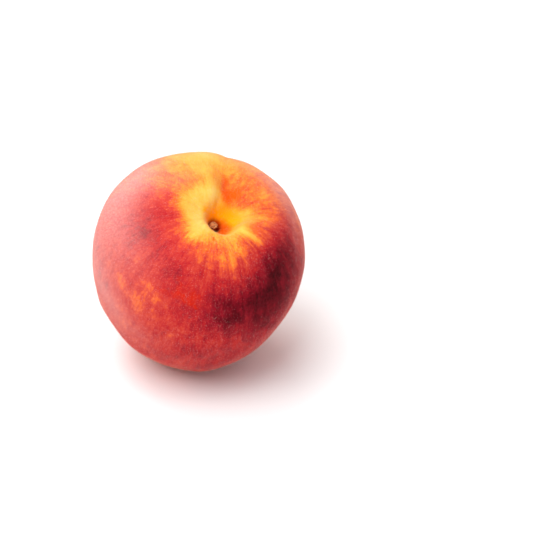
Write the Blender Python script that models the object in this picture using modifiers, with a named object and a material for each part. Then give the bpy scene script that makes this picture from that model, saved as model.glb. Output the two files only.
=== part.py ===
"""A yellow peach with the stub of its stem, in metres, +Z up.

The fruit leans with its stem end forward and a little to the right, and rests on a small flat spot
whose middle is the origin. Its surface is a sphere whose points are moved by formulas: a dome over a
longer lower half, the shallow bowl and narrow throat round the stem, the groove of the seam, and the
small point at the far end.
"""

import math

import bmesh
import bpy
from mathutils import Matrix, Vector

COLLECTION_NAME = "yellow_peach"

# The fruit in its own frame: the stem end is up, and the seam runs down its +X side
# Heights along the axis are shares, from 1 at the stem to -1 at the far end
EQUATOR_RADIUS = 0.038
DOME_HEIGHT = 0.0347
LOWER_LENGTH = 0.0459
LOWER_FULLNESS = 0.025
HALVES_MEET = 0.3
OVAL_SHARE = 0.016
OVAL_TOWARD = math.radians(-3)
LOBE_SHARE = 0.014
LOBE_TOWARD = math.radians(-44)
CROWN_TILT = 0.0036
CROWN_TILT_TOWARD = math.radians(-118)
CROWN_TILT_AT = math.radians(38)
CROWN_TILT_SPREAD = math.radians(26)
CROWN_TILT_START = math.radians(8)

# The stem's place, off the axis
STEM_X = 0.0
STEM_Y = -0.0015

# The bowl round the stem, wider over one sector that starts at the seam's steep bank
BOWL_DEPTH = 0.0088
BOWL_RADIUS = 0.0118
BOWL_WIDENING = 0.0085
BOWL_SECTOR_TOWARD = math.radians(-42)
BOWL_SECTOR_HALF = math.radians(50)
BOWL_SECTOR_EDGE = math.radians(15)
BOWL_POWER = 1.7

# The throat that the stem stands in, a little off it, with a fold opposite the seam, and its pit
THROAT_DEPTH = 0.0063
THROAT_RADIUS = 0.0057
THROAT_OFF_X = 0.0002
THROAT_OFF_Y = -0.0027
THROAT_FOLD = 0.30
THROAT_FOLD_TOWARD = math.radians(-168)
THROAT_FOLD_SPREAD = math.radians(30)
THROAT_SLOPE_TOWARD = math.radians(-20)
THROAT_STEEP = 4.6
THROAT_GENTLE = 2.1
THROAT_GENTLE_REACH = 0.12
THROAT_GENTLE_FROM = -0.2
THROAT_GENTLE_TO = 0.9
PIT_DEPTH = 0.0023
PIT_RADIUS = 0.0024
PIT_POWER = 4

# The seam, a groove with one steep and one gentle bank, and the faint line opposite it
SEAM_TOP_DEPTH = 0.0021
SEAM_TOP_AT = math.radians(20)
SEAM_TOP_SPREAD = math.radians(15)
SEAM_SHOULDER_DEPTH = 0.0003
SEAM_SIDE_DEPTH = 0.0007
SEAM_SIDE_AT = math.radians(108)
SEAM_SIDE_SPREAD = math.radians(32)
SEAM_END_DEPTH = 0.0011
SEAM_END_SPREAD = math.radians(32)
SEAM_SHIFT = -0.0014
SEAM_START_SHIFT = -0.0052
SEAM_START_REACH = 0.014
SEAM_START_UP = 0.5
SEAM_STEEP_WIDTH = 0.0034
SEAM_GENTLE_WIDTH = 0.0095
SEAM_SIDE_WIDTH = 0.0042
SEAM_GENTLE_UP = 0.8
SEAM_POWER = 1.9
BACK_LINE_DEPTH = 0.0006
BACK_LINE_WIDTH = 0.0012
BACK_LINE_SPREAD = math.radians(30)
SEAM_START = 0.0050

# The far end, a small point in a faint dimple
POINT_LENGTH = 0.0013
POINT_RADIUS = 0.0022
POINT_POWER = 1.5
DIMPLE_DEPTH = 0.0007
DIMPLE_RADIUS = 0.0070

# How the fruit lies: its lean from upright, where it leans to, its turn about its axis, its middle
LEAN = math.radians(31.6)
LEAN_HEADING = math.radians(-68.4)
AXIS_TURN = math.radians(153.0)
MIDDLE = Vector((0.0024, -0.0062, 0.0430))

# The sphere that the formulas move, with its rings drawn together near the stem
ROUND_SEGMENTS = 80
RINGS = 58
RING_CROWDING = 1.5

# The stub of the stem, and the socket that it stands in
STUB_RADIUS = 0.00135
STUB_ROOT = 0.0145
STUB_TIP = 0.0216
STUB_WAIST_SHARE = 0.12
STUB_ROUNDING = 0.0004
STUB_SIDES = 20
STUB_RINGS = 8
GAP = 0.0003
SOCKET_TOP = 0.0188
SOCKET_SIDES = 24

FRUIT_COLOUR = (0.72, 0.16, 0.06, 1.0)
STUB_COLOUR = (0.35, 0.17, 0.09, 1.0)


def bell(value, spread):
    """1 where the value is 0, falling off smoothly on both sides."""
    return math.exp(-((value / spread) ** 2))


def eased(value, low, high):
    """0 below low, 1 above high, smooth between them."""
    share = min(max((value - low) / (high - low), 0.0), 1.0)
    return share * share * (3.0 - 2.0 * share)


def seam_depth(polar):
    """How deep the seam is at this angle from the stem."""
    top = SEAM_TOP_DEPTH * bell(polar - SEAM_TOP_AT, SEAM_TOP_SPREAD)
    side = SEAM_SIDE_DEPTH * bell(polar - SEAM_SIDE_AT, SEAM_SIDE_SPREAD)
    end = SEAM_END_DEPTH * bell(math.pi - polar, SEAM_END_SPREAD)
    return SEAM_SHOULDER_DEPTH + top + side + end


def seam(polar, x, y):
    """How far the seam, and the faint line opposite it, draw the skin in."""
    up = math.cos(polar)
    across = y - STEM_Y * eased(up, 0.0, 1.0)
    start = eased(up, 0.0, SEAM_START_UP) * bell(x, SEAM_START_REACH)
    past_bottom = across - SEAM_SHIFT - SEAM_START_SHIFT * start
    widening = (SEAM_GENTLE_WIDTH - SEAM_SIDE_WIDTH) * eased(up, 0.0, SEAM_GENTLE_UP)
    width = SEAM_STEEP_WIDTH if past_bottom > 0.0 else SEAM_SIDE_WIDTH + widening
    groove = seam_depth(polar) * math.exp(-(abs(past_bottom / width) ** SEAM_POWER))
    groove *= eased(x, 0.0, SEAM_START)
    line = BACK_LINE_DEPTH * bell(across, BACK_LINE_WIDTH) * bell(polar, BACK_LINE_SPREAD)
    line *= eased(-x, 0.0, SEAM_START)
    return groove + line


def turned_from(angle, toward):
    """The angle between two headings, from 0 to pi."""
    return abs(math.remainder(angle - toward, 2.0 * math.pi))


def bowl(x, y):
    """How far the bowl lowers the crown, at this place from the stem."""
    radius = math.hypot(x, y)
    azimuth = math.atan2(y, x)
    off = turned_from(azimuth, BOWL_SECTOR_TOWARD) - BOWL_SECTOR_HALF
    wide = 1.0 - eased(off, -BOWL_SECTOR_EDGE, BOWL_SECTOR_EDGE)
    reach = BOWL_RADIUS + BOWL_WIDENING * wide
    return BOWL_DEPTH * math.exp(-((radius / reach) ** BOWL_POWER))


def throat(x, y):
    """How far the throat lowers the bowl's floor, at this place from the stem."""
    x -= THROAT_OFF_X
    y -= THROAT_OFF_Y
    heading = math.atan2(y, x)
    fold = THROAT_FOLD * bell(turned_from(heading, THROAT_FOLD_TOWARD), THROAT_FOLD_SPREAD)
    facing = math.cos(heading - THROAT_SLOPE_TOWARD)
    gentle = eased(facing, THROAT_GENTLE_FROM, THROAT_GENTLE_TO)
    reach = THROAT_RADIUS * (1.0 + fold + THROAT_GENTLE_REACH * gentle)
    power = THROAT_STEEP + (THROAT_GENTLE - THROAT_STEEP) * gentle
    return THROAT_DEPTH * math.exp(-((math.hypot(x, y) / reach) ** power))


def pit(x, y):
    """How far the pit lowers the throat's floor, at this place from the stem."""
    return PIT_DEPTH * math.exp(-((math.hypot(x, y) / PIT_RADIUS) ** PIT_POWER))


def far_end(radius):
    """How far the far end stands out, less where its dimple is."""
    point = POINT_LENGTH * math.exp(-((radius / POINT_RADIUS) ** POINT_POWER))
    return point - DIMPLE_DEPTH * bell(radius, DIMPLE_RADIUS)


def skin_point(polar, azimuth):
    """The skin's point at this angle from the stem and this turn from the seam."""
    out = math.sin(polar)
    up = math.cos(polar)
    upper = eased(up, -HALVES_MEET, HALVES_MEET)
    oval = OVAL_SHARE * math.cos(2.0 * (azimuth - OVAL_TOWARD))
    lobes = LOBE_SHARE * math.cos(3.0 * (azimuth - LOBE_TOWARD))
    full = (1.0 + out * out * (oval + lobes)) * (1.0 + LOWER_FULLNESS * min(up, 0.0) ** 2)
    radius = EQUATOR_RADIUS * out * full
    height = up * (upper * DOME_HEIGHT + (1.0 - upper) * LOWER_LENGTH)
    tilt = CROWN_TILT * bell(polar - CROWN_TILT_AT, CROWN_TILT_SPREAD)
    tilt *= eased(polar, 0.0, CROWN_TILT_START)
    height += tilt * math.cos(azimuth - CROWN_TILT_TOWARD)
    x = radius * math.cos(azimuth)
    y = radius * math.sin(azimuth)
    inward = seam(polar, x, y)
    stem_place = (x - STEM_X, y - STEM_Y)
    hollow = bowl(*stem_place) + throat(*stem_place) + pit(*stem_place)
    height -= eased(up, 0.0, HALVES_MEET) * hollow
    height -= eased(-up, 0.0, HALVES_MEET) * far_end(radius)
    shrink = 1.0 - inward * out / max(radius, THROAT_RADIUS)
    return Vector((x * shrink, y * shrink, height - inward * up))


def lying():
    """The matrix from the fruit's own frame to the frame that it rests in."""
    heading = Matrix.Rotation(LEAN_HEADING, 4, "Z")
    lean = Matrix.Rotation(LEAN, 4, "Y")
    turn = Matrix.Rotation(AXIS_TURN, 4, "Z")
    return Matrix.Translation(MIDDLE) @ heading @ lean @ turn


def plain_material(name, colour, roughness):
    """A Principled material of one colour."""
    material = bpy.data.materials.new(name)
    material.use_nodes = True
    shader = material.node_tree.nodes["Principled BSDF"]
    shader.inputs["Base Color"].default_value = colour
    shader.inputs["Roughness"].default_value = roughness
    shader.inputs["Metallic"].default_value = 0.0
    material.diffuse_color = colour
    return material


def new_object(name, mesh, collection, parent):
    """An object of this mesh in the collection, placed by its parent."""
    made = bpy.data.objects.new(name, mesh)
    collection.objects.link(made)
    made.parent = parent
    return made


def cut_flat_spot(shape):
    """Cuts the fruit off level at the height that it rests at, and closes the cut."""
    to_own_frame = lying().inverted()
    level = to_own_frame @ Vector((0.0, 0.0, 0.0))
    down = (to_own_frame.to_3x3() @ Vector((0.0, 0.0, -1.0))).normalized()
    everything = shape.verts[:] + shape.edges[:] + shape.faces[:]
    bmesh.ops.bisect_plane(
        shape, geom=everything, dist=1e-7, plane_co=level, plane_no=down, clear_outer=True
    )
    rim = [edge for edge in shape.edges if edge.is_boundary]
    bmesh.ops.edgeloop_fill(shape, edges=rim)


def make_fruit(collection, parent):
    """The fruit: a sphere moved point by point, with its flat spot cut."""
    shape = bmesh.new()
    bmesh.ops.create_uvsphere(shape, u_segments=ROUND_SEGMENTS, v_segments=RINGS, radius=1.0)
    for vertex in shape.verts:
        even = math.acos(min(max(vertex.co.z, -1.0), 1.0))
        polar = math.pi * (even / math.pi) ** RING_CROWDING
        vertex.co = skin_point(polar, math.atan2(vertex.co.y, vertex.co.x))
    cut_flat_spot(shape)
    bmesh.ops.recalc_face_normals(shape, faces=shape.faces[:])
    mesh = bpy.data.meshes.new("fruit")
    shape.to_mesh(mesh)
    shape.free()
    mesh.shade_smooth()
    mesh.materials.append(plain_material("peach_skin", FRUIT_COLOUR, 0.6))
    return new_object("fruit", mesh, collection, parent)


def make_socket(collection, parent):
    """The cutter of the plain round hole that the stub stands in."""
    root = STUB_ROOT - GAP
    depth = SOCKET_TOP - root
    shape = bmesh.new()
    bmesh.ops.create_cone(
        shape,
        cap_ends=True,
        segments=SOCKET_SIDES,
        radius1=STUB_RADIUS + GAP,
        radius2=STUB_RADIUS + GAP,
        depth=depth,
        matrix=Matrix.Translation((STEM_X, STEM_Y, root + depth / 2)),
    )
    mesh = bpy.data.meshes.new("stub_socket")
    shape.to_mesh(mesh)
    shape.free()
    cutter = new_object("stub_socket", mesh, collection, parent)
    cutter.hide_render = True
    cutter.display_type = "WIRE"
    return cutter


def cut_with(piece, cutter):
    """Cuts the cutter's shape out of the piece."""
    cut = piece.modifiers.new("cut " + cutter.name, "BOOLEAN")
    cut.operation = "DIFFERENCE"
    cut.solver = "EXACT"
    cut.object = cutter


def stub_profile():
    """Half of the stub's outline, from the middle of its tip round to the middle of its root."""
    side_top = STUB_TIP - STUB_ROUNDING
    points = [(0.0, STUB_TIP), (STUB_RADIUS - STUB_ROUNDING, STUB_TIP)]
    for step in range(STUB_RINGS + 1):
        share = step / STUB_RINGS
        waist = STUB_WAIST_SHARE * math.sin(math.pi * share)
        points.append((STUB_RADIUS * (1.0 - waist), side_top + share * (STUB_ROOT - side_top)))
    points.append((0.0, STUB_ROOT))
    return [Vector((x, 0.0, z)) for x, z in points]


def make_stub(collection, parent):
    """The stub of the stem, a turned shape."""
    points = stub_profile()
    mesh = bpy.data.meshes.new("stem_stub")
    mesh.from_pydata(points, [(i, i + 1) for i in range(len(points) - 1)], [])
    mesh.materials.append(plain_material("stem_wood", STUB_COLOUR, 0.75))
    stub = new_object("stem_stub", mesh, collection, parent)
    stub.location = (STEM_X, STEM_Y, 0.0)
    turned = stub.modifiers.new("turned", "SCREW")
    turned.axis = "Z"
    turned.steps = STUB_SIDES
    turned.render_steps = STUB_SIDES
    turned.use_merge_vertices = True
    turned.merge_threshold = 0.00001
    turned.use_smooth_shade = True
    return stub


def main():
    """Clears the scene and models the peach."""
    for old in list(bpy.data.objects):
        bpy.data.objects.remove(old)
    parts = bpy.data.collections.new(COLLECTION_NAME)
    cutters = bpy.data.collections.new("cutters")
    for collection in (parts, cutters):
        bpy.context.scene.collection.children.link(collection)
    axis = bpy.data.objects.new("fruit_axis", None)
    parts.objects.link(axis)
    axis.matrix_world = lying()
    fruit = make_fruit(parts, axis)
    cut_with(fruit, make_socket(cutters, axis))
    make_stub(parts, axis)


main()
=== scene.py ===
"""The looks of a ripe yellow peach: its mottled skin, its down and the woody stub of its stem.

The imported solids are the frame. The skin is the same surface as the fruit's solid, worked out finer
from the same formula, with low relief and the colours of the blush added. The down is one short
three-sided hair, placed many thousand times over the skin.
"""

import logging
import math
from dataclasses import dataclass
from enum import Enum

import bmesh
import bpy
import numpy as np
from mathutils import Matrix, Vector


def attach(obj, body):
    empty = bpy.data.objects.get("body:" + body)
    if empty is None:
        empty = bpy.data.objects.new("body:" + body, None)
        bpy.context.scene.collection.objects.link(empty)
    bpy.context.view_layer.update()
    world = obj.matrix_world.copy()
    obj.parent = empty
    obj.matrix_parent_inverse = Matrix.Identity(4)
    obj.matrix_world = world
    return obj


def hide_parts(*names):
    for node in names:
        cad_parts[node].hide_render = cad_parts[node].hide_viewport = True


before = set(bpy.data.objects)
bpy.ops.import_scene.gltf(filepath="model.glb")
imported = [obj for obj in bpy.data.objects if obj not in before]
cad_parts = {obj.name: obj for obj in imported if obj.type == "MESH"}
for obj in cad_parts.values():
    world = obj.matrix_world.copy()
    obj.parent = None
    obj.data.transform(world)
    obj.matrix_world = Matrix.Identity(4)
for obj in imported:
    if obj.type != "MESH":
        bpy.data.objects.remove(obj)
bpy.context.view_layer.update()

LOG = logging.getLogger("yellow_peach")
BODY = "root"

Numbers = np.ndarray
Socket = bpy.types.NodeSocket
Colour = tuple[int, int, int]
Stops = tuple[tuple[float, Colour], ...]


def bell(value: Numbers, spread: float) -> Numbers:
    """Gives 1 where the value is 0, falling off smoothly on both sides."""
    return np.exp(-((value / spread) ** 2))


def eased(value: Numbers, low: float, high: float) -> Numbers:
    """Gives 0 below low, 1 above high, and a smooth rise between them."""
    share = np.clip((value - low) / (high - low), 0.0, 1.0)
    return share * share * (3.0 - 2.0 * share)


def turned_from(angle: Numbers, toward: float) -> Numbers:
    """Gives the signed angle from one heading to another, from -pi to pi."""
    return np.remainder(angle - toward + math.pi, 2.0 * math.pi) - math.pi


def linear(red: int, green: int, blue: int) -> tuple[float, float, float, float]:
    """Turns a colour as a screen shows it, 0 to 255, into the shader's linear values.

    Args:
        red: The red part.
        green: The green part.
        blue: The blue part.

    Returns:
        The linear colour, with full alpha.
    """
    parts = []
    for part in (red, green, blue):
        share = part / 255.0
        parts.append(share / 12.92 if share <= 0.04045 else ((share + 0.055) / 1.055) ** 2.4)
    return (parts[0], parts[1], parts[2], 1.0)


def placed(name: str, data: bpy.types.ID) -> bpy.types.Object:
    """Makes an object of this mesh, light or camera, and puts it in the scene."""
    made = bpy.data.objects.new(name, data)
    bpy.context.scene.collection.objects.link(made)
    return made


def meshed(name: str, shape: bmesh.types.BMesh) -> bpy.types.Mesh:
    """Turns a shape into a mesh of this name, and frees the shape."""
    mesh = bpy.data.meshes.new(name)
    shape.to_mesh(mesh)
    shape.free()
    return mesh


def move_points(mesh: bpy.types.Mesh, points: Numbers) -> None:
    """Moves the mesh's points to these places, one a row, and shades the mesh smooth."""
    mesh.vertices.foreach_set("co", points.astype(np.float32).ravel())
    mesh.update()
    mesh.shade_smooth()


def write_attribute(mesh: bpy.types.Mesh, name: str, values: Numbers) -> None:
    """Gives the mesh a number at each point or, where a row holds three numbers, a vector."""
    kind, field = ("FLOAT", "value") if values.ndim == 1 else ("FLOAT_VECTOR", "vector")
    attribute = mesh.attributes.new(name, kind, "POINT")
    attribute.data.foreach_set(field, values.astype(np.float32).ravel())


@dataclass(frozen=True)
class Form:
    """The fruit's surface in its own frame, stem end up, by the formula of its solid.

    Angles are in radians. Polar angles count from the stem, azimuths from the seam.
    """

    equator_radius: float = 0.038
    dome_height: float = 0.0347
    lower_length: float = 0.0459
    lower_fullness: float = 0.025
    halves_meet: float = 0.3
    oval_share: float = 0.016
    oval_toward: float = math.radians(-3)
    lobe_share: float = 0.014
    lobe_toward: float = math.radians(-44)
    crown_tilt: float = 0.0036
    crown_tilt_toward: float = math.radians(-118)
    crown_tilt_at: float = math.radians(38)
    crown_tilt_spread: float = math.radians(26)
    crown_tilt_start: float = math.radians(8)
    stem_x: float = 0.0
    stem_y: float = -0.0015
    bowl_depth: float = 0.0088
    bowl_radius: float = 0.0118
    bowl_widening: float = 0.0085
    bowl_sector_toward: float = math.radians(-42)
    bowl_sector_half: float = math.radians(50)
    bowl_sector_edge: float = math.radians(15)
    bowl_power: float = 1.7
    throat_depth: float = 0.0063
    throat_radius: float = 0.0057
    throat_off_x: float = 0.0002
    throat_off_y: float = -0.0027
    throat_fold: float = 0.30
    throat_fold_toward: float = math.radians(-168)
    throat_fold_spread: float = math.radians(30)
    throat_slope_toward: float = math.radians(-20)
    throat_steep: float = 4.6
    throat_gentle: float = 2.1
    throat_gentle_reach: float = 0.12
    throat_gentle_from: float = -0.2
    throat_gentle_to: float = 0.9
    pit_depth: float = 0.0023
    pit_radius: float = 0.0024
    pit_power: float = 4.0
    seam_top_depth: float = 0.0021
    seam_top_at: float = math.radians(20)
    seam_top_spread: float = math.radians(15)
    seam_shoulder_depth: float = 0.0003
    seam_side_depth: float = 0.0007
    seam_side_at: float = math.radians(108)
    seam_side_spread: float = math.radians(32)
    seam_end_depth: float = 0.0011
    seam_end_spread: float = math.radians(32)
    seam_shift: float = -0.0014
    seam_start_shift: float = -0.0052
    seam_start_reach: float = 0.014
    seam_start_up: float = 0.5
    seam_steep_width: float = 0.0034
    seam_gentle_width: float = 0.0095
    seam_side_width: float = 0.0042
    seam_gentle_up: float = 0.8
    seam_power: float = 1.9
    back_line_depth: float = 0.0006
    back_line_width: float = 0.0012
    back_line_spread: float = math.radians(30)
    seam_start: float = 0.0050
    point_length: float = 0.0013
    point_radius: float = 0.0022
    point_power: float = 1.5
    dimple_depth: float = 0.0007
    dimple_radius: float = 0.0070
    lean: float = math.radians(31.6)
    lean_heading: float = math.radians(-68.4)
    axis_turn: float = math.radians(153.0)
    middle: tuple[float, float, float] = (0.0024, -0.0062, 0.0430)

    def lying(self) -> Matrix:
        """Gives the matrix from the fruit's own frame to the frame that it rests in."""
        heading = Matrix.Rotation(self.lean_heading, 4, "Z")
        lean = Matrix.Rotation(self.lean, 4, "Y")
        turn = Matrix.Rotation(self.axis_turn, 4, "Z")
        return Matrix.Translation(self.middle) @ heading @ lean @ turn

    def at_rest(self, points: Numbers) -> Numbers:
        """Moves points, one a row, from the fruit's own frame to the frame that it rests in."""
        matrix = np.array(self.lying())
        return points @ matrix[:3, :3].T + matrix[:3, 3]

    def past_seam_bottom(self, polar: Numbers, x: Numbers, y: Numbers) -> Numbers:
        """Gives how far across from the bottom of the seam's groove each place is."""
        up = np.cos(polar)
        across = y - self.stem_y * eased(up, 0.0, 1.0)
        start = eased(up, 0.0, self.seam_start_up) * bell(x, self.seam_start_reach)
        return across - self.seam_shift - self.seam_start_shift * start

    def seam_groove(self, polar: Numbers, x: Numbers, y: Numbers) -> Numbers:
        """Gives how far the seam's groove draws the skin in.

        Args:
            polar: The angle from the stem.
            x: The place towards the seam.
            y: The place across the seam.

        Returns:
            The depth of the groove at each place.
        """
        up = np.cos(polar)
        past_bottom = self.past_seam_bottom(polar, x, y)
        widening = self.seam_gentle_width - self.seam_side_width
        gentle = self.seam_side_width + widening * eased(up, 0.0, self.seam_gentle_up)
        width = np.where(past_bottom > 0.0, self.seam_steep_width, gentle)
        top = self.seam_top_depth * bell(polar - self.seam_top_at, self.seam_top_spread)
        side = self.seam_side_depth * bell(polar - self.seam_side_at, self.seam_side_spread)
        end = self.seam_end_depth * bell(math.pi - polar, self.seam_end_spread)
        depth = self.seam_shoulder_depth + top + side + end
        groove = depth * np.exp(-(np.abs(past_bottom / width) ** self.seam_power))
        return groove * eased(x, 0.0, self.seam_start)

    def back_line(self, polar: Numbers, x: Numbers, y: Numbers) -> Numbers:
        """Gives how far the faint line opposite the seam draws the skin in."""
        across = y - self.stem_y * eased(np.cos(polar), 0.0, 1.0)
        line = self.back_line_depth * bell(across, self.back_line_width)
        return line * bell(polar, self.back_line_spread) * eased(-x, 0.0, self.seam_start)

    def bowl(self, x: Numbers, y: Numbers) -> Numbers:
        """Gives how far the bowl lowers the crown, at these places from the stem."""
        off = np.abs(turned_from(np.arctan2(y, x), self.bowl_sector_toward)) - self.bowl_sector_half
        wide = 1.0 - eased(off, -self.bowl_sector_edge, self.bowl_sector_edge)
        reach = self.bowl_radius + self.bowl_widening * wide
        return self.bowl_depth * np.exp(-((np.hypot(x, y) / reach) ** self.bowl_power))

    def throat(self, x: Numbers, y: Numbers) -> Numbers:
        """Gives how far the throat lowers the bowl's floor, at these places from the stem."""
        x = x - self.throat_off_x
        y = y - self.throat_off_y
        heading = np.arctan2(y, x)
        turned = turned_from(heading, self.throat_fold_toward)
        fold = self.throat_fold * bell(turned, self.throat_fold_spread)
        facing = np.cos(heading - self.throat_slope_toward)
        gentle = eased(facing, self.throat_gentle_from, self.throat_gentle_to)
        reach = self.throat_radius * (1.0 + fold + self.throat_gentle_reach * gentle)
        power = self.throat_steep + (self.throat_gentle - self.throat_steep) * gentle
        return self.throat_depth * np.exp(-((np.hypot(x, y) / reach) ** power))

    def pit(self, x: Numbers, y: Numbers) -> Numbers:
        """Gives how far the pit lowers the throat's floor, at these places from the stem."""
        return self.pit_depth * np.exp(-((np.hypot(x, y) / self.pit_radius) ** self.pit_power))

    def far_end(self, radius: Numbers) -> Numbers:
        """Gives how far the far end stands out, less where its dimple is."""
        point = self.point_length * np.exp(-((radius / self.point_radius) ** self.point_power))
        return point - self.dimple_depth * bell(radius, self.dimple_radius)

    def surface(self, polar: Numbers, azimuth: Numbers) -> Numbers:
        """Works the skin's points out.

        Args:
            polar: Each point's angle from the stem.
            azimuth: Each point's turn from the seam.

        Returns:
            The points in the fruit's own frame, one a row.
        """
        out = np.sin(polar)
        up = np.cos(polar)
        upper = eased(up, -self.halves_meet, self.halves_meet)
        oval = self.oval_share * np.cos(2.0 * (azimuth - self.oval_toward))
        lobes = self.lobe_share * np.cos(3.0 * (azimuth - self.lobe_toward))
        full = 1.0 + out * out * (oval + lobes)
        full = full * (1.0 + self.lower_fullness * np.minimum(up, 0.0) ** 2)
        radius = self.equator_radius * out * full
        height = up * (upper * self.dome_height + (1.0 - upper) * self.lower_length)
        tilt = self.crown_tilt * bell(polar - self.crown_tilt_at, self.crown_tilt_spread)
        tilt = tilt * eased(polar, 0.0, self.crown_tilt_start)
        height = height + tilt * np.cos(azimuth - self.crown_tilt_toward)
        x = radius * np.cos(azimuth)
        y = radius * np.sin(azimuth)
        inward = self.seam_groove(polar, x, y) + self.back_line(polar, x, y)
        stem_place = (x - self.stem_x, y - self.stem_y)
        hollow = self.bowl(*stem_place) + self.throat(*stem_place) + self.pit(*stem_place)
        height = height - eased(up, 0.0, self.halves_meet) * hollow
        height = height - eased(-up, 0.0, self.halves_meet) * self.far_end(radius)
        shrink = 1.0 - inward * out / np.maximum(radius, self.throat_radius)
        return np.stack([x * shrink, y * shrink, height - inward * up], axis=-1)


@dataclass(frozen=True)
class Patch:
    """A soft-edged patch on the skin.

    toward and down say where its middle is, in degrees round from the seam and down from the stem.
    """

    toward: float
    down: float
    half_width: float
    half_height: float
    amount: float

    def laid(self, polar: Numbers, azimuth: Numbers) -> Numbers:
        """Gives what the patch adds at each place, in radians from the stem and from the seam."""
        across = turned_from(azimuth, math.radians(self.toward)) / math.radians(self.half_width)
        along = (polar - math.radians(self.down)) / math.radians(self.half_height)
        return self.amount * np.exp(-(across**2) - along**2)


def laid_over(patches: tuple[Patch, ...], polar: Numbers, azimuth: Numbers) -> Numbers:
    """Gives the sum of what the patches add at each place."""
    total = np.zeros_like(polar)
    for patch in patches:
        total += patch.laid(polar, azimuth)
    return total


def patch_rows(*rows: tuple[float, float, float, float, float]) -> tuple[Patch, ...]:
    """Makes a patch of each row: its toward, down, half width, half height and amount."""
    return tuple(Patch(*row) for row in rows)


@dataclass(frozen=True)
class RipenessAndShade:
    """Where the skin is yellow and where it has blushed, from 0 (butter yellow) to 1.3 (maroon).

    The crown is paler than the ground below its edge, which stands at so many degrees from the
    stem. Patches say how many degrees the edge moves, where the blush deepens or fades, where the
    skin glows amber (most in the seam) or vermilion (on the front cheek), how far the glow of the
    hollow reaches over its lip, and how thick the pale frost of the finest down lies. Near 1.3 the
    maroon low on the front right is partly a real dark blush and partly painted shade. A few
    lighter patches beside the stem are partly painted highlight. The frost is partly the down's
    own pale tint and partly painted sheen at the rims.
    """

    crown: float = 0.12
    ground: float = 0.42
    seam_blush: float = 0.16
    crown_edge: float = 19.5
    crown_edge_rise: float = 6.5
    # The move at 241 degrees carries the crown's yellow down a crest beside the stem hollow: partly
    # the skin's yellow, partly a painted highlight along the lit crest.
    edge_moves: tuple[Patch, ...] = patch_rows(
        (241, 40, 6, 400, 6), (330, 40, 20, 400, -8), (156, 40, 9, 400, 2.5),
        (192, 40, 18, 400, -3), (110, 40, 15, 400, -3), (130, 40, 14, 400, -2.5),
        (284, 40, 16, 400, 3.2),
    )
    # The patch at 8 degrees lightens the flank of the seam's ridge: partly its yellow, partly painted
    # light on a flank that turns away from the lamps.
    crown_patches: tuple[Patch, ...] = patch_rows(
        (275, 15, 30, 8, 0.08), (8, 14, 8, 12, -0.1), (36, 23, 18, 7, 0.14),
        (78, 16, 14, 4, 0.08), (140, 9, 40, 5, -0.06), (196, 16, 24, 4.5, 0.13),
    )
    # The patches at 230, 246 and 256 degrees deepen the blush to near-black maroon low on the front
    # right: partly a real dark blush, partly painted shade as if other fruit lay against that side.
    # The patches at 242 and 250 degrees lighten the crest beside the stem hollow: partly its yellow,
    # partly a painted highlight.
    patches: tuple[Patch, ...] = patch_rows(
        (104, 60, 48, 44, 0.22), (118, 34, 32, 15, 0.17), (176, 46, 36, 18, 0.24),
        (230, 57, 38, 18, 0.33), (246, 76, 50, 34, 0.26), (256, 43, 24, 13, 0.23),
        (277, 28, 13, 9, -0.1), (280, 46, 14, 8, 0.08), (208, 58, 24, 12, 0.08),
        (13, 27, 15, 9, -0.16), (14, 54, 20, 16, -0.28), (36, 38, 30, 17, -0.13),
        (345, 40, 20, 18, -0.08), (212, 27, 26, 7, -0.11), (242, 28, 4, 7, -0.24),
        (250, 33, 9, 6, -0.12), (134, 68, 5, 4, -0.15), (150, 72, 6, 5, -0.17),
        (159, 60, 7, 4, -0.12), (141, 84, 8, 6, -0.12), (150, 57, 6, 3, -0.1),
        (176, 32, 2.2, 7, -0.11), (186, 37, 2.4, 9, -0.13), (196, 36, 2.6, 9, -0.12),
        (207, 37, 2.6, 9, -0.12), (218, 36, 3, 8, -0.1), (190, 100, 60, 34, 0.26),
        (100, 112, 40, 26, 0.14), (0, 180, 400, 34, 0.16),
    )
    amber: tuple[Patch, ...] = patch_rows(
        (335, 19, 17, 9, 1.1), (306, 13, 14, 4.5, 0.45), (353, 28, 7, 9, 0.5),
        (189, 17.5, 3.5, 2.4, 1.1),
    )
    lip_glow: Patch = Patch(48.0, 5.2, 40.0, 2.0, 0.35)
    vermilion: tuple[Patch, ...] = patch_rows(
        (170, 49, 11, 6, 0.6), (181, 54, 9, 6, 0.5), (158, 56, 8, 5, 0.35),
    )
    # Partly the down's own pale tint, partly painted sheen: the thickest patches lie along the rims
    # that the camera sees edge-on, where the down glows.
    frost_and_sheen: tuple[Patch, ...] = patch_rows(
        (88, 78, 52, 26, 0.39), (108, 50, 30, 17, 0.16), (62, 50, 28, 20, 0.32),
        (40, 26, 30, 10, 0.14), (130, 94, 34, 17, 0.28), (132, 46, 44, 20, 0.1),
        (314, 52, 36, 16, 0.4), (20, 70, 60, 24, 0.2), (250, 110, 60, 40, 0.1),
    )

    def blush(self, polar: Numbers, azimuth: Numbers) -> Numbers:
        """Gives the blush at each place, in radians from the stem and from the seam."""
        edge = self.crown_edge + laid_over(self.edge_moves, polar, azimuth)
        past_edge = np.degrees(polar) - edge
        side = eased(past_edge, -self.crown_edge_rise, self.crown_edge_rise)
        crown = self.crown + laid_over(self.crown_patches, polar, azimuth)
        deeper = self.ground + laid_over(self.patches, polar, azimuth)
        return crown + (deeper - crown) * side


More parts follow.
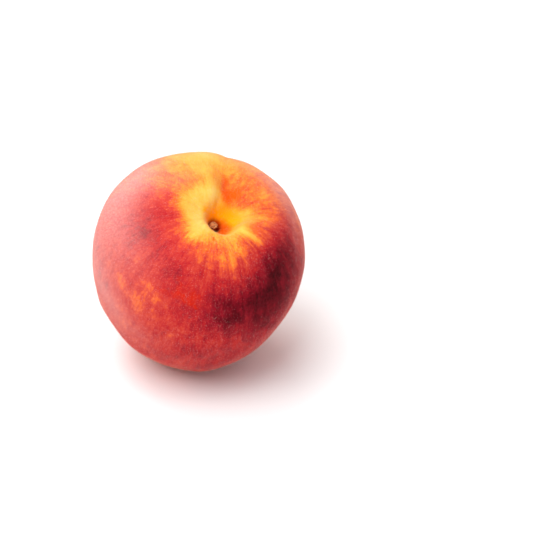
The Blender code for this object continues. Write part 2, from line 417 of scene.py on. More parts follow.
@dataclass(frozen=True)
class Relief:
    """The finer skin's low relief: faint waves, creases round the stem and the seam's fine line."""

    wave_count: int = 18
    wave_height: float = 0.00016
    longest_wave: float = 0.030
    shortest_wave: float = 0.009
    wave_start: float = math.radians(18)
    crease_count: int = 13
    crease_sways: tuple[tuple[float, float], ...] = ((2.0, 1.3), (5.0, 0.9))
    crease_depth: float = 0.00009
    crease_at: float = math.radians(9)
    crease_spread: float = math.radians(5)
    line_depth: float = 0.00022
    line_width: float = 0.0008
    line_from: float = math.radians(50)
    line_fades_in: float = math.radians(16)
    line_fades_out: float = math.radians(8)
    fill_share: float = 0.75
    fill_at: float = math.radians(43)
    fill_spread: float = math.radians(9)
    seed: int = 41

    def waves(self, points: Numbers, polar: Numbers) -> Numbers:
        """Gives the height of the faint waves at these points of the skin."""
        draw = np.random.default_rng(self.seed)
        total = np.zeros(len(points))
        for _ in range(self.wave_count):
            heading = draw.normal(size=3)
            heading /= np.linalg.norm(heading)
            length = draw.uniform(self.shortest_wave, self.longest_wave)
            phase = draw.uniform(0.0, 2.0 * math.pi)
            total += np.sin(points @ heading * (2.0 * math.pi / length) + phase)
        total *= self.wave_height / math.sqrt(self.wave_count / 2.0)
        return total * eased(polar, 0.0, self.wave_start)

    def creases(self, polar: Numbers, azimuth: Numbers) -> Numbers:
        """Gives the height of the creases that run down into the hollow round the stem."""
        turn = self.crease_count * azimuth
        for waves, sway in self.crease_sways:
            turn = turn + sway * np.sin(waves * azimuth)
        return self.crease_depth * np.cos(turn) * bell(polar - self.crease_at, self.crease_spread)

    def rim_fill(self, polar: Numbers, groove: Numbers) -> Numbers:
        """Gives how far the skin fills the seam's groove where it runs over the shoulder."""
        return self.fill_share * groove * bell(polar - self.fill_at, self.fill_spread)

    def seam_line(self, polar: Numbers, past_bottom: Numbers, toward_seam: Numbers) -> Numbers:
        """Gives how much of the seam's fine line is at each place, from 0 to 1.

        Args:
            polar: The angle from the stem.
            past_bottom: How far across from the bottom of the seam's groove the place is.
            toward_seam: How far out to the seam's side of the fruit the place is.

        Returns:
            The share of the line.
        """
        share = bell(past_bottom, self.line_width) * (toward_seam > 0.0)
        share = share * eased(polar, self.line_from, self.line_from + self.line_fades_in)
        return share * eased(math.pi - polar, 0.0, self.line_fades_out)


@dataclass(frozen=True)
class Pattern:
    """A cloudy pattern: the size of its clouds, how fine they are, and how much it counts."""

    size: float
    detail: float
    roughness: float = 0.55
    distortion: float = 0.0
    amount: float = 0.0


@dataclass(frozen=True)
class Layer:
    """A colour laid over another as a value rises from low to high, by a share of up to most."""

    low: float
    high: float
    most: float
    colour: Colour


class NodeBoard:
    """Adds and links the nodes of one tree."""

    def __init__(self, tree: bpy.types.NodeTree) -> None:
        """Takes the tree that the nodes go into."""
        self.tree = tree

    def add(self, kind: str, inputs: dict[str | int, object], **settings: object) -> bpy.types.Node:
        """Adds a node with these settings, and feeds its inputs, each by its name or number."""
        node = self.tree.nodes.new(kind)
        for name, value in settings.items():
            setattr(node, name, value)
        self.feed(node, inputs)
        return node

    def feed(self, node: bpy.types.Node, inputs: dict[str | int, object]) -> None:
        """Links each input to an output, or sets it to a number, a colour or a vector."""
        for name, value in inputs.items():
            if isinstance(value, Socket):
                self.tree.links.new(value, node.inputs[name])
            else:
                node.inputs[name].default_value = value

    def sum(self, operation: str, first: object, second: object) -> Socket:
        """Works out a sum of two values, each a number or an output."""
        return self.add("ShaderNodeMath", {0: first, 1: second}, operation=operation).outputs[0]

    def more(self, value: object, pattern: object, amount: object) -> Socket:
        """Adds so much of a pattern to a value."""
        return self.sum("ADD", value, self.sum("MULTIPLY", pattern, amount))


class MaterialBoard(NodeBoard):
    """Adds and links the nodes of one material, and dresses its Principled shader."""

    def __init__(self, name: str) -> None:
        """Makes the material."""
        self.material = bpy.data.materials.new(name)
        self.material.use_nodes = True
        super().__init__(self.material.node_tree)

    def dress(self, inputs: dict[str, object]) -> bpy.types.Material:
        """Feeds the shader's inputs, each by its name, and gives the material."""
        self.feed(self.tree.nodes["Principled BSDF"], inputs)
        return self.material

    def attribute(self, name: str, output: str = "Fac") -> Socket:
        """Reads what the mesh holds at each point: a number, or by the output Vector a vector."""
        return self.add("ShaderNodeAttribute", {}, attribute_name=name).outputs[output]

    def place(self) -> Socket:
        """Reads the place on the object."""
        return self.add("ShaderNodeTexCoord", {}).outputs["Object"]

    def spread(self, value: object, low: float, high: float, to_low: float = 0.0,
               to_high: float = 1.0) -> Socket:
        """Maps a value smoothly from one range to another, and clamps it there."""
        inputs = dict(enumerate((value, low, high, to_low, to_high)))
        return self.add("ShaderNodeMapRange", inputs, interpolation_type="SMOOTHSTEP").outputs[0]

    def noise(self, place: Socket, pattern: Pattern) -> Socket:
        """Gives a cloudy pattern round 0, from about -0.5 to 0.5."""
        node = self.add("ShaderNodeTexNoise", {
            "Vector": place,
            "Scale": 1.0 / pattern.size,
            "Detail": pattern.detail,
            "Roughness": pattern.roughness,
            "Distortion": pattern.distortion,
        })
        return self.sum("SUBTRACT", node.outputs["Fac"], 0.5)

    def blend(self, share: object, first: object, second: object) -> Socket:
        """Mixes two colours, the node's inputs 6 and 7, by a share from 0 to 1."""
        inputs = {"Factor": share, 6: first, 7: second}
        return self.add("ShaderNodeMix", inputs, data_type="RGBA").outputs[2]

    def cover(self, colour: Socket, layer: Layer, value: Socket, within: object = 1.0) -> Socket:
        """Lays a layer over a colour, as far as a value says and within a share from 0 to 1."""
        share = self.spread(value, layer.low, layer.high, 0.0, layer.most)
        return self.blend(self.sum("MULTIPLY", share, within), colour, linear(*layer.colour))

    def ramp(self, value: Socket, stops: Stops) -> Socket:
        """Turns a value into the colours of a ramp."""
        node = self.add("ShaderNodeValToRGB", {"Fac": value})
        elements = node.color_ramp.elements
        while len(elements) < len(stops):
            elements.new(1.0)
        for element, (at, colour) in zip(elements, stops):
            element.position = at
            element.color = linear(*colour)
        return node.outputs["Color"]

    def bump(self, height: Socket, strength: float, distance: float) -> Socket:
        """Gives the normal of a bump of this height pattern, with its distance in metres."""
        inputs = {"Height": height, "Strength": strength, "Distance": distance}
        return self.add("ShaderNodeBump", inputs).outputs["Normal"]


@dataclass(frozen=True)
class SkinFinish:
    """The peach's skin: one ramp of ripeness, broken up by streaks, mottles and grain."""

    # The last stops, past 1.0, are near-black maroon: partly a real dark blush, partly painted shade
    # low on the front right.
    ripening_and_shade: Stops = (
        (0.00, (244, 208, 114)),
        (0.14, (241, 184, 76)),
        (0.28, (236, 148, 50)),
        (0.42, (228, 103, 44)),
        (0.56, (199, 61, 48)),
        (0.70, (182, 34, 38)),
        (0.84, (146, 17, 34)),
        (0.98, (104, 6, 22)),
        (1.12, (66, 2, 10)),
        (1.30, (34, 1, 4)),
    )
    streaks: Pattern = Pattern(1.0, 4.0, 0.6, amount=0.30)
    fine_streaks: Pattern = Pattern(1.0 / 2.7, 3.0, 0.6, amount=0.30)
    clouds: Pattern = Pattern(0.012, 3.0, 0.5, amount=0.32)
    mottles: Pattern = Pattern(0.0034, 4.0, 0.6, 0.4, 0.40)
    grain: Pattern = Pattern(0.0009, 2.0, 0.6, amount=0.30)
    felt: Pattern = Pattern(0.0005, 2.0, 0.6, amount=2.0)
    even_below: float = 0.10
    broken_above: float = 0.40
    least_broken: float = 0.45
    amber: Layer = Layer(0.30, 0.90, 0.92, (240, 88, 3))
    amber_mottling: float = 1.2
    vermilion: Layer = Layer(0.22, 0.95, 0.82, (204, 34, 4))
    vermilion_mottling: float = 3.2
    vermilion_from: float = 0.04
    vermilion_full: float = 0.30
    # Painted sheen: a pale pink layer, partly the down's own pale tint, partly the glow of the down at
    # the rims.
    frost_and_sheen: Layer = Layer(0.0, 1.0, 0.85, (243, 190, 183))
    thinnest_frost_and_sheen: float = 0.78
    thickest_frost_and_sheen: float = 1.22
    # The hollow's colours darken towards the stem: amber on the walls, red-brown lower down, dark red
    # in the pit. The darker layers are partly the cavity's own colour, partly painted shade in the
    # deep pit round the stub.
    hollow: tuple[Layer, ...] = (
        Layer(0.06, 0.40, 1.0, (255, 166, 2)),
        Layer(0.48, 0.76, 1.0, (202, 68, 4)),
        Layer(0.74, 0.92, 1.0, (138, 22, 8)),
    )
    roughness: float = 0.62
    roughness_mottling: float = 0.18
    bump_strength: float = 0.25
    bump_height: float = 0.00015
    sheen: float = 0.26
    sheen_roughness: float = 0.25
    sheen_tint: Colour = (255, 212, 206)
    specular: float = 0.04
    flesh_glow: float = 0.15
    flesh_reach: float = 0.003
    flesh_reach_by_colour: tuple[float, float, float] = (1.0, 0.30, 0.08)

    def material(self) -> bpy.types.Material:
        """Builds the skin's material.

        Returns:
            A material that reads the mesh's blush, around, amber, vermilion, frost and hollow.
        """
        board = MaterialBoard("peach_skin")
        place = board.place()
        mottles = board.noise(place, self.mottles)
        grain = board.noise(place, self.grain)
        colour = self.ripened(board, place, mottles, grain)
        height = board.sum("ADD", grain, mottles)
        return board.dress({
            "Base Color": self.layered(board, place, mottles, colour),
            "Roughness": board.more(self.roughness, mottles, self.roughness_mottling),
            "Normal": board.bump(height, self.bump_strength, self.bump_height),
            "Sheen Weight": self.sheen,
            "Sheen Roughness": self.sheen_roughness,
            "Sheen Tint": linear(*self.sheen_tint),
            "Specular IOR Level": self.specular,
            "Subsurface Weight": self.flesh_glow,
            "Subsurface Radius": self.flesh_reach_by_colour,
            "Subsurface Scale": self.flesh_reach,
        })

    def ripened(self, board: MaterialBoard, place: Socket, mottles: Socket, grain: Socket
                ) -> Socket:
        """Gives the colour of the blush, broken up by every pattern.

        Args:
            board: The board that the nodes go on.
            place: The place on the object.
            mottles: The pattern of the mottles.
            grain: The pattern of the grain.

        Returns:
            The colour.
        """
        blush = board.attribute("blush")
        around = board.attribute("around", "Vector")
        pattern = board.sum("MULTIPLY", board.noise(around, self.streaks), self.streaks.amount)
        fine_streaks = board.noise(around, self.fine_streaks)
        pattern = board.more(pattern, fine_streaks, self.fine_streaks.amount)
        pattern = board.more(pattern, board.noise(place, self.clouds), self.clouds.amount)
        pattern = board.more(pattern, mottles, self.mottles.amount)
        pattern = board.more(pattern, grain, self.grain.amount)
        broken = board.spread(blush, self.even_below, self.broken_above, self.least_broken)
        end = self.ripening_and_shade[-1][0]
        toned = board.sum("DIVIDE", board.more(blush, pattern, broken), end)
        return board.ramp(toned, tuple((at / end, colour) for at, colour in self.ripening_and_shade))

    def layered(self, board: MaterialBoard, place: Socket, mottles: Socket, colour: Socket
                ) -> Socket:
        """Lays the amber, the vermilion, the frost and the hollow's colours over a colour.

        Args:
            board: The board that the nodes go on.
            place: The place on the object.
            mottles: The pattern of the mottles.
            colour: The colour beneath.

        Returns:
            The colour with its layers.
        """
        amber = board.more(board.attribute("amber"), mottles, self.amber_mottling)
        colour = board.cover(colour, self.amber, amber)
        glow = board.attribute("vermilion")
        glowing = board.spread(glow, self.vermilion_from, self.vermilion_full)
        vermilion = board.more(glow, mottles, self.vermilion_mottling)
        colour = board.cover(colour, self.vermilion, vermilion, glowing)
        # The felt grain breaks up the frost layer, which is partly painted sheen of the down.
        felt = board.more(0.5, board.noise(place, self.felt), self.felt.amount)
        thickness = board.spread(felt, 0.0, 1.0, self.thinnest_frost_and_sheen, self.thickest_frost_and_sheen)
        frost_and_sheen = board.sum("MULTIPLY", board.attribute("frost_and_sheen"), thickness)
        colour = board.cover(colour, self.frost_and_sheen, frost_and_sheen)
        # The hollow's darker layers are partly painted shade in the pit round the stub.
        hollow = board.attribute("hollow")
        for layer in self.hollow:
            colour = board.cover(colour, layer, hollow)
        return colour


@dataclass
class PeachSkin:
    """The whole fruit's outside, closed, with its flat spot on the surface that it rests on."""

    form: Form
    ripeness_and_shade: RipenessAndShade
    relief: Relief
    finish: SkinFinish
    round_segments: int = 360
    rings: int = 200
    ring_crowding: float = 1.5
    spot_rounding: float = 0.00025
    streaks_round: float = 13.0
    streaks_down: float = 2.6
    throat_share: float = 0.72
    pit_share: float = 0.28
    bare_below: float = 0.0009
    hollow_bareness: float = 0.75

    def build(self) -> bpy.types.Object:
        """Builds the skin and dresses it.

        Returns:
            The skin, riding on the fruit's body in place of its solid.
        """
        share = np.arange(1, self.rings) / self.rings
        down = math.pi * share**self.ring_crowding
        turn = 2.0 * math.pi * np.arange(self.round_segments) / self.round_segments
        polar = np.concatenate([[0.0], np.repeat(down, self.round_segments), [math.pi]])
        azimuth = np.concatenate([[0.0], np.tile(turn, self.rings - 1), [0.0]])
        own = self.form.surface(polar, azimuth)
        mesh = bpy.data.meshes.new("peach_skin")
        mesh.from_pydata(own, [], self.faces())
        past_bottom = self.form.past_seam_bottom(polar, own[:, 0], own[:, 1])
        seam_line = self.relief.seam_line(polar, past_bottom, own[:, 0])
        rest = self.form.at_rest(own + self.raised(polar, azimuth, own, seam_line))
        height = rest[:, 2]
        rest[:, 2] = 0.5 * (height + np.sqrt(height * height + self.spot_rounding**2))
        move_points(mesh, rest)
        self.add_attributes(mesh, polar, azimuth, own, rest, seam_line)
        mesh.materials.append(self.finish.material())
        skin = placed("peach_skin", mesh)
        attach(skin, BODY)
        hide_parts("fruit")
        return skin

    def faces(self) -> list[tuple[int, ...]]:
        """Gives the skin's faces, from the stem to the far end, in one order in every run."""
        last = 1 + (self.rings - 1) * self.round_segments
        faces = []
        for side in range(self.round_segments):
            after = (side + 1) % self.round_segments
            faces.append((0, 1 + side, 1 + after))
            for start in range(1, last - self.round_segments, self.round_segments):
                below = start + self.round_segments
                faces.append((start + side, below + side, below + after, start + after))
            faces.append((last, last - self.round_segments + after, last - self.round_segments + side))
        return faces

    def raised(self, polar: Numbers, azimuth: Numbers, own: Numbers, seam_line: Numbers) -> Numbers:
        """Gives how far the low relief moves each point.

        Args:
            polar: Each point's angle from the stem.
            azimuth: Each point's turn from the seam.
            own: The points in the fruit's own frame.
            seam_line: The share of the seam's fine line at each point.

        Returns:
            The moves in the fruit's own frame, one a row.
        """
        outward = own / np.linalg.norm(own, axis=1, keepdims=True)
        raised = self.relief.waves(own, polar) + self.relief.creases(polar, azimuth)
        raised = raised - self.relief.line_depth * seam_line
        groove = self.form.seam_groove(polar, own[:, 0], own[:, 1])
        raised = raised + self.relief.rim_fill(polar, groove)
        return outward * raised[:, None]

    def add_attributes(self, mesh: bpy.types.Mesh, polar: Numbers, azimuth: Numbers, own: Numbers,
                       rest: Numbers, seam_line: Numbers) -> None:
        """Gives the mesh what its material and its down read at each point.

        Args:
            mesh: The skin's mesh.
            polar: Each point's angle from the stem.
            azimuth: Each point's turn from the seam.
            own: The points in the fruit's own frame.
            rest: The points where the fruit rests.
            seam_line: The share of the seam's fine line at each point.
        """
        stem_x = own[:, 0] - self.form.stem_x
        stem_y = own[:, 1] - self.form.stem_y
        near_stem = eased(np.cos(polar), 0.0, 1.0)
        throat = self.form.throat(stem_x, stem_y) / self.form.throat_depth
        pit = self.form.pit(stem_x, stem_y) / self.form.pit_depth
        hollow = near_stem * (self.throat_share * throat + self.pit_share * pit)
        hollow = np.maximum(hollow, self.ripeness_and_shade.lip_glow.laid(polar, azimuth))
        # The blush holds painted shade low on the front right and painted highlight beside the stem
        # hollow, as well as the real blush.
        blush = self.ripeness_and_shade.blush(polar, azimuth) + self.ripeness_and_shade.seam_blush * seam_line
        amber = laid_over(self.ripeness_and_shade.amber, polar, azimuth)
        # The frost is partly the down's pale tint, partly painted sheen at the rims.
        frost_and_sheen = laid_over(self.ripeness_and_shade.frost_and_sheen, polar, azimuth)
        write_attribute(mesh, "blush", blush)
        write_attribute(mesh, "hollow", hollow)
        write_attribute(mesh, "amber", amber * (1.0 - hollow))
        write_attribute(mesh, "vermilion", laid_over(self.ripeness_and_shade.vermilion, polar, azimuth))
        write_attribute(mesh, "frost_and_sheen", frost_and_sheen * (1.0 - hollow))
        downy = eased(rest[:, 2], self.bare_below, 2.0 * self.bare_below)
        downy = downy * (1.0 - self.hollow_bareness * hollow)
        for shade in HairShade:
            write_attribute(mesh, shade.label(), downy * shade.share(blush))
        around = np.stack([
            self.streaks_round * np.cos(azimuth),
            self.streaks_round * np.sin(azimuth),
            self.streaks_down * polar,
        ], axis=-1)
        write_attribute(mesh, "around", around)


@dataclass(frozen=True)
class WoodFinish:
    """The stub's wood: brown bark with long dark cracks, and a paler broken end."""

    bark: Stops = ((0.18, (52, 22, 14)), (0.45, (134, 74, 46)), (0.80, (196, 134, 96)))
    end: Stops = ((0.26, (52, 20, 12)), (0.44, (188, 112, 64)), (0.85, (240, 180, 120)))
    cracks: Pattern = Pattern(1.0, 4.0, 0.6, amount=1.5)
    grain: Pattern = Pattern(0.00018, 3.0, amount=0.6)
    slits: Pattern = Pattern(0.00045, 2.0, 0.5, 1.5, 2.2)
    middle_tone: float = 0.5
    roughness: float = 0.75
    roughness_grain: float = 0.3
    specular: float = 0.2
    bump_strength: float = 0.5
    bump_height: float = 0.0001

    def material(self) -> bpy.types.Material:
        """Builds the wood, which reads the mesh's tip and bark attributes."""
        board = MaterialBoard("stem_wood")
        place = board.place()
        cracks = board.noise(board.attribute("bark", "Vector"), self.cracks)
        grain = board.noise(place, self.grain)
        slits = board.noise(place, self.slits)
        tone = board.more(self.middle_tone, cracks, self.cracks.amount)
        side = board.ramp(board.more(tone, grain, self.grain.amount), self.bark)
        end = board.ramp(board.more(self.middle_tone, slits, self.slits.amount), self.end)
        height = board.sum("ADD", cracks, slits)
        return board.dress({
            "Base Color": board.blend(board.attribute("tip"), side, end),
            "Roughness": board.more(self.roughness, grain, self.roughness_grain),
            "Specular IOR Level": self.specular,
            "Normal": board.bump(height, self.bump_strength, self.bump_height),
        })


@dataclass
class StemStub:
    """The short woody rest of the stem, with bark ridges, a slight waist and a broken end."""

    form: Form
    finish: WoodFinish
    radius: float = 0.00135
    root: float = 0.0145
    tip: float = 0.0216
    waist_share: float = 0.12
    rounding: float = 0.0004
    sides: int = 120
    side_rings: int = 70
    rounding_rings: int = 8
    end_rings: int = 26
    ridge_sets: int = 4
    ridge_share: float = 0.045
    ridge_count: int = 9
    ridge_count_step: int = 3
    ridge_twist: float = 350.0
    end_slope: float = 0.16
    end_hollow: float = 0.00022
    end_hollow_radius: float = 0.0007
    splinter_height: float = 0.00007
    splinters_round: float = 5.0
    splinters_out: float = 9000.0
    broken_from: float = 0.0007
    broken_full: float = 0.0002
    bark_round: float = 5.0
    bark_along: float = 900.0
    bark_least_radius: float = 1e-6
    seed: int = 7

    def build(self) -> bpy.types.Object:
        """Builds the stub and dresses it.

        Returns:
            The stub, riding on the fruit's body in place of its solid.
        """
        mesh = meshed("stem_stub_wood", self.shape())
        own = np.array([vertex.co[:] for vertex in mesh.vertices])
        self.add_attributes(mesh, own)
        own[:, 0] += self.form.stem_x
        own[:, 1] += self.form.stem_y
        move_points(mesh, self.form.at_rest(own))
        mesh.materials.append(self.finish.material())
        stub = placed("stem_stub_wood", mesh)
        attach(stub, BODY)
        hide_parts("stem_stub")
        return stub

    def shape(self) -> bmesh.types.BMesh:
        """Gives the stub's closed shape, standing on the stem's axis in the fruit's own frame."""
        ring_out, ring_up, broken = (np.array(column)[:, None] for column in zip(*self.profile()))
        turn = np.linspace(0.0, 2.0 * math.pi, self.sides, endpoint=False)[None, :]
        out = ring_out * self.swell(ring_up, turn)
        x = out * np.cos(turn)
        y = out * np.sin(turn)
        hollow = self.end_hollow * bell(out, self.end_hollow_radius)
        splinters = np.cos(self.splinters_round * turn + self.splinters_out * out)
        z = ring_up + broken * (self.end_slope * x - hollow + self.splinter_height * splinters)
        shape = bmesh.new()
        rows = [[shape.verts.new(point) for point in row] for row in np.stack([x, y, z], axis=-1)]
        for upper, lower in zip(rows, rows[1:]):
            for side in range(self.sides):
                after = (side + 1) % self.sides
                shape.faces.new((upper[side], lower[side], lower[after], upper[after]))
        for row, height in ((rows[0], z[0].mean()), (rows[-1], z[-1].mean())):
            middle = shape.verts.new((0.0, 0.0, height))
            for side in range(self.sides):
                shape.faces.new((row[side], row[(side + 1) % self.sides], middle))
        bmesh.ops.recalc_face_normals(shape, faces=shape.faces[:])
        return shape

    def swell(self, up: Numbers, turn: Numbers) -> Numbers:
        """Gives the share by which the bark's ridges widen the stub, at these heights and turns."""
        draw = np.random.default_rng(self.seed)
        swell = np.ones_like(up * turn)
        for number in range(self.ridge_sets):
            count = self.ridge_count + self.ridge_count_step * number
            phase = draw.uniform(0.0, 2.0 * math.pi)
            twist = draw.uniform(-self.ridge_twist, self.ridge_twist)
            ridges = np.cos(count * turn + phase + twist * (up - self.root))
            swell += self.ridge_share / (number + 1) * ridges
        return swell

    def profile(self) -> list[tuple[float, float, float]]:
        """Gives the rings from the stub's end to its root: radius, height and share of the end."""
        rings = []
        for step in range(1, self.end_rings + 1):
            share = step / self.end_rings
            rings.append(((self.radius - self.rounding) * share, self.tip, 1.0))
        for step in range(1, self.rounding_rings + 1):
            angle = 0.5 * math.pi * step / self.rounding_rings
            out = self.radius - self.rounding * (1.0 - math.sin(angle))
            rings.append((out, self.tip - self.rounding * (1.0 - math.cos(angle)), math.cos(angle)))
        top = self.tip - self.rounding
        for step in range(1, self.side_rings + 1):
            share = step / self.side_rings
            waist = self.waist_share * math.sin(math.pi * share)
            rings.append((self.radius * (1.0 - waist), top + share * (self.root - top), 0.0))
        return rings

    def add_attributes(self, mesh: bpy.types.Mesh, own: Numbers) -> None:
        """Gives the mesh its share of the broken end, and what runs its cracks lengthwise."""
        broken = eased(own[:, 2], self.tip - self.broken_from, self.tip - self.broken_full)
        write_attribute(mesh, "tip", broken)
        out = np.maximum(np.hypot(own[:, 0], own[:, 1]), self.bark_least_radius)
        round_x = self.bark_round * own[:, 0] / out
        round_y = self.bark_round * own[:, 1] / out
        bark = np.stack([round_x, round_y, self.bark_along * own[:, 2]], axis=-1)
        write_attribute(mesh, "bark", bark)


class HairShade(Enum):
    """The down's shades: a colour, about how many hairs have it, and the blush they grow on."""

    PEARL = ((244, 214, 204), 36000, (-1.0, -0.9, 0.7, 1.0))
    STRAW = ((232, 186, 112), 36000, (-1.0, -0.9, 0.2, 0.5))
    CORAL = ((224, 132, 96), 46000, (0.2, 0.45, 0.7, 0.95))
    ROSE = ((214, 118, 112), 48000, (0.3, 0.55, 0.85, 1.0))
    # The darkest hairs grow on the deepest blush. Low on the front right that blush is partly painted
    # shade, and the hairs are darkened with it.
    WINE = ((92, 18, 24), 16000, (0.75, 0.95, 3.0, 4.0))

    def colour(self) -> tuple[float, float, float, float]:
        """Gives the shade's linear colour."""
        return linear(*self.value[0])

    def count(self) -> int:
        """Gives about how many hairs have this shade."""
        return self.value[1]

    def label(self) -> str:
        """Names the piece, the material and the mesh attribute of these hairs."""
        return "down_" + self.name.lower()

    def share(self, blush: Numbers) -> Numbers:
        """Gives the share of these hairs that grows at each blush, rising and then falling."""
        rise_from, rise_to, fall_from, fall_to = self.value[2]
        return eased(blush, rise_from, rise_to) * (1.0 - eased(blush, fall_from, fall_to))


@dataclass(frozen=True)
class HairFinish:
    """One plain shade of the down."""

    shade: HairShade
    roughness: float = 0.6
    specular: float = 0.2

    def material(self) -> bpy.types.Material:
        """Builds the shade's material."""
        return MaterialBoard(self.shade.label()).dress({
            "Base Color": self.shade.colour(),
            "Roughness": self.roughness,
            "Specular IOR Level": self.specular,
        })


@dataclass
class Down:
    """The down: short three-sided hairs over the skin, one piece for each shade."""

    skin: bpy.types.Object
    hair_length: float = 0.00055
    hair_sides: int = 3
    root_radius: float = 0.000015
    shortest: float = 0.55
    longest: float = 1.2
    lean: float = math.radians(48)
    sunk: float = 0.00005
    seed: int = 20
    seed_step: int = 10

    def build(self) -> list[bpy.types.Object]:
        """Grows the down.

        Returns:
            One piece of hairs for each shade, riding on the fruit's body.
        """
        tree = self.tree()
        pieces = []
        for number, shade in enumerate(HairShade):
            density = shade.count() / self.covered(shade.label())
            seed = self.seed + self.seed_step * number
            pieces.append(self.grown(tree, HairFinish(shade), density, seed))
        bpy.data.node_groups.remove(tree)
        attributes = self.skin.data.attributes
        for shade in HairShade:
            attributes.remove(attributes[shade.label()])
        return pieces

    def covered(self, mask: str) -> float:
        """Gives the area in square metres that a mask covers, each face by its mean share."""
        mesh = self.skin.data
        shares = self.read(mesh.attributes[mask].data, "value", np.float32)
        corners = self.read(mesh.loops, "vertex_index", np.int32)
        starts = self.read(mesh.polygons, "loop_start", np.int32)
        totals = self.read(mesh.polygons, "loop_total", np.int32)
        areas = self.read(mesh.polygons, "area", np.float32)
        return float((np.add.reduceat(shares[corners], starts) / totals * areas).sum())

    @staticmethod
    def read(items: bpy.types.bpy_prop_collection, field: str, kind: type) -> Numbers:
        """Reads one field of every item of a mesh."""
        values = np.zeros(len(items), kind)
        items.foreach_get(field, values)
        return values

    def grown(self, tree: bpy.types.NodeTree, finish: HairFinish, density: float, seed: int
              ) -> bpy.types.Object:
        """Grows the hairs of one shade.

        Args:
            tree: The node tree that grows them.
            finish: Their finish.
            density: How many stand on a square metre.
            seed: What their random draws start from.

        Returns:
            The hairs, as one plain mesh.
        """
        label = finish.shade.label()
        grower = placed("grower", self.skin.data)
        modifier = grower.modifiers.new("down", "NODES")
        modifier.node_group = tree
        wanted = {
            "Hairs per square metre": density,
            "Hair length": self.hair_length,
            "Root radius": self.root_radius,
            "Lean": self.lean,
            "Seed": seed,
            "Mask": label,
            "Shade": finish.material(),
        }
        for item in tree.interface.items_tree:
            if item.item_type == "SOCKET" and item.in_out == "INPUT" and item.name in wanted:
                modifier[item.identifier] = wanted[item.name]
        grower.update_tag()
        bpy.context.view_layer.update()
        evaluated = grower.evaluated_get(bpy.context.evaluated_depsgraph_get())
        mesh = bpy.data.meshes.new_from_object(evaluated)
        mesh.name = label
        for attribute in [each.name for each in self.skin.data.attributes]:
            if attribute in mesh.attributes and not mesh.attributes[attribute].is_required:
                mesh.attributes.remove(mesh.attributes[attribute])
        bpy.data.objects.remove(grower)
        hairs = placed(label, mesh)
        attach(hairs, BODY)
        return hairs

    def tree(self) -> bpy.types.NodeTree:
        """Builds the node tree that grows one shade of hairs on a skin."""
        tree = bpy.data.node_groups.new("down", "GeometryNodeTree")
        for name, kind in (
            ("Skin", "Geometry"),
            ("Hairs per square metre", "Float"),
            ("Hair length", "Float"),
            ("Root radius", "Float"),
            ("Lean", "Float"),
            ("Seed", "Int"),
            ("Mask", "String"),
            ("Shade", "Material"),
        ):
            tree.interface.new_socket(name=name, in_out="INPUT", socket_type="NodeSocket" + kind)
        tree.interface.new_socket(name="Hairs", in_out="OUTPUT", socket_type="NodeSocketGeometry")
        board = NodeBoard(tree)
        given = board.add("NodeGroupInput", {}).outputs
        mask = {"Name": given["Mask"]}
        downy = board.add("GeometryNodeInputNamedAttribute", mask, data_type="FLOAT")
        density = board.sum("MULTIPLY", given["Hairs per square metre"], downy.outputs["Attribute"])
        points = board.add("GeometryNodeDistributePointsOnFaces", {
            "Mesh": given["Skin"],
            "Density": density,
            "Seed": given["Seed"],
        })
        hair = board.add("GeometryNodeMeshCone", {
            "Vertices": self.hair_sides,
            "Side Segments": 1,
            "Radius Top": 0.0,
            "Radius Bottom": given["Root radius"],
            "Depth": given["Hair length"],
        }, fill_type="NGON")
        sunk = board.add("GeometryNodeTransform", {
            "Geometry": hair.outputs["Mesh"],
            "Translation": (0.0, 0.0, -self.sunk),
        })
        upright = points.outputs["Rotation"]
        copies = board.add("GeometryNodeInstanceOnPoints", {
            "Points": points.outputs["Points"],
            "Instance": sunk.outputs["Geometry"],
            "Rotation": self.turned(board, upright, given["Lean"], given["Seed"]),
            "Scale": self.stretched(board, given["Seed"]),
        })
        real = board.add("GeometryNodeRealizeInstances", {"Geometry": copies.outputs["Instances"]})
        dressed = board.add("GeometryNodeSetMaterial", {
            "Geometry": real.outputs["Geometry"],
            "Material": given["Shade"],
        })
        board.add("NodeGroupOutput", {"Hairs": dressed.outputs["Geometry"]})
        return tree

    def turned(self, board: NodeBoard, upright: Socket, lean: Socket, seed: Socket) -> Socket:
        """Turns each hair at random about the skin's normal, and leans it at random.

        Args:
            board: The board that the nodes go on.
            upright: The rotation that stands a hair on the skin.
            lean: How far a hair leans at most, either way.
            seed: What the random draws start from.

        Returns:
            The rotation of each hair.
        """
        backwards = board.sum("MULTIPLY", lean, -1.0)
        low = board.add("ShaderNodeCombineXYZ", {"X": backwards, "Y": backwards})
        high = board.add("ShaderNodeCombineXYZ", {"X": lean, "Y": lean, "Z": 2.0 * math.pi})
        limits = {"Min": low.outputs[0], "Max": high.outputs[0], "Seed": seed}
        angles = board.add("FunctionNodeRandomValue", limits, data_type="FLOAT_VECTOR")
        leaning = board.add("FunctionNodeEulerToRotation", {"Euler": angles.outputs["Value"]})
        turns = {"Rotation": upright, "Rotate By": leaning.outputs["Rotation"]}
        turned = board.add("FunctionNodeRotateRotation", turns, rotation_space="LOCAL")
        return turned.outputs["Rotation"]

    def stretched(self, board: NodeBoard, seed: Socket) -> Socket:
        """Gives the scale that makes each hair longer or shorter at random.

        Args:
            board: The board that the nodes go on.
            seed: One less than what the random draws start from.

        Returns:
            The scale of each hair. The random node's inputs 2 and 3 are a single number's limits.
        """
        limits = {2: self.shortest, 3: self.longest, "Seed": board.sum("ADD", seed, 1.0)}
        length = board.add("FunctionNodeRandomValue", limits, data_type="FLOAT").outputs[1]
        return board.add("ShaderNodeCombineXYZ", {"X": 1.0, "Y": 1.0, "Z": length}).outputs[0]


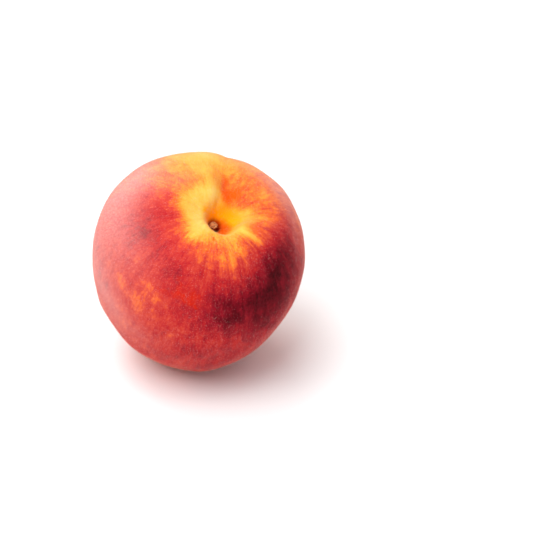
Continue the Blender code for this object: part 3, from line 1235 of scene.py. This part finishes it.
@dataclass
class Studio:
    """The pale floor, the soft light and the camera."""

    form: Form
    elevation: float = math.radians(30)
    distance: float = 0.646
    frame_side: int = 533
    pixels_per_metre: float = 2830.0
    fruit_at: tuple[float, float] = (199.2, 255.2)
    sensor: float = 36.0
    near: float = 0.01
    floor_side: float = 4.0
    floor_white: float = 0.93
    floor_roughness: float = 0.9
    world_strength: float = 0.62
    key_power: float = 6.2
    key_side: float = 0.65
    key_place: tuple[float, float, float] = (-0.24, -0.34, 0.74)
    top_power: float = 2.4
    top_side: float = 0.60
    top_place: tuple[float, float, float] = (-0.20, 0.35, 0.70)

    def build(self) -> None:
        """Sets the floor, the lights, the world, the view and the camera up."""
        self.build_floor()
        self.build_light()
        self.build_camera()
        bpy.context.scene.view_settings.view_transform = "Standard"

    def build_floor(self) -> None:
        """Lays the pale floor that the fruit rests on."""
        shape = bmesh.new()
        bmesh.ops.create_grid(shape, x_segments=1, y_segments=1, size=self.floor_side / 2)
        mesh = meshed("floor", shape)
        mesh.materials.append(MaterialBoard("pale_floor").dress({
            "Base Color": (self.floor_white, self.floor_white, self.floor_white, 1.0),
            "Roughness": self.floor_roughness,
        }))
        floor = placed("floor", mesh)

    def hang(self, name: str, power: float, side: float, place: tuple[float, float, float]) -> None:
        """Hangs a square soft light that faces the fruit.

        Args:
            name: The light's name.
            power: Its power in watts.
            side: Its side in metres.
            place: Where it hangs.
        """
        light = bpy.data.lights.new(name, "AREA")
        light.energy = power
        light.size = side
        away = Vector(place) - Vector(self.form.middle)
        facing = away.to_track_quat("Z", "Y").to_matrix().to_4x4()
        placed(name, light).matrix_world = Matrix.Translation(place) @ facing

    def build_light(self) -> None:
        """Hangs a key light at the left and a weaker one overhead, in a white room."""
        self.hang("key", self.key_power, self.key_side, self.key_place)
        self.hang("top", self.top_power, self.top_side, self.top_place)
        world = bpy.data.worlds.new("white_room")
        world.use_nodes = True
        sky = world.node_tree.nodes["Background"]
        sky.inputs["Color"].default_value = (1.0, 1.0, 1.0, 1.0)
        sky.inputs["Strength"].default_value = self.world_strength
        bpy.context.scene.world = world

    def build_camera(self) -> None:
        """Puts the camera where the fruit shows at its place and size in the frame."""
        back = Vector((0.0, -math.cos(self.elevation), math.sin(self.elevation)))
        right = Vector((1.0, 0.0, 0.0))
        up = Vector((0.0, math.sin(self.elevation), math.cos(self.elevation)))
        half = self.frame_side / 2
        aim = Vector(self.form.middle)
        aim += right * ((half - self.fruit_at[0]) / self.pixels_per_metre)
        aim += up * ((self.fruit_at[1] - half) / self.pixels_per_metre)
        data = bpy.data.cameras.new("camera")
        data.sensor_width = self.sensor
        data.lens = self.sensor * self.distance / (self.frame_side / self.pixels_per_metre)
        data.clip_start = self.near
        camera = placed("camera", data)
        place = aim + back * self.distance
        camera.matrix_world = Matrix((
            (right.x, up.x, back.x, place.x),
            (right.y, up.y, back.y, place.y),
            (right.z, up.z, back.z, place.z),
            (0.0, 0.0, 0.0, 1.0),
        ))
        bpy.context.scene.camera = camera


def report(piece: bpy.types.Object) -> None:
    """Logs a piece's name and how many triangles it has."""
    triangles = sum(polygon.loop_total - 2 for polygon in piece.data.polygons)
    LOG.info("%s: %d triangles", piece.name, triangles)


def main() -> None:
    """Builds the peach piece by piece, and the studio round it."""
    logging.basicConfig(level=logging.INFO, format="%(name)s: %(message)s")
    form = Form()
    Studio(form).build()
    skin = PeachSkin(form, RipenessAndShade(), Relief(), SkinFinish()).build()
    report(skin)
    report(StemStub(form, WoodFinish()).build())
    for hairs in Down(skin).build():
        report(hairs)


if __name__ == "__main__":
    main()
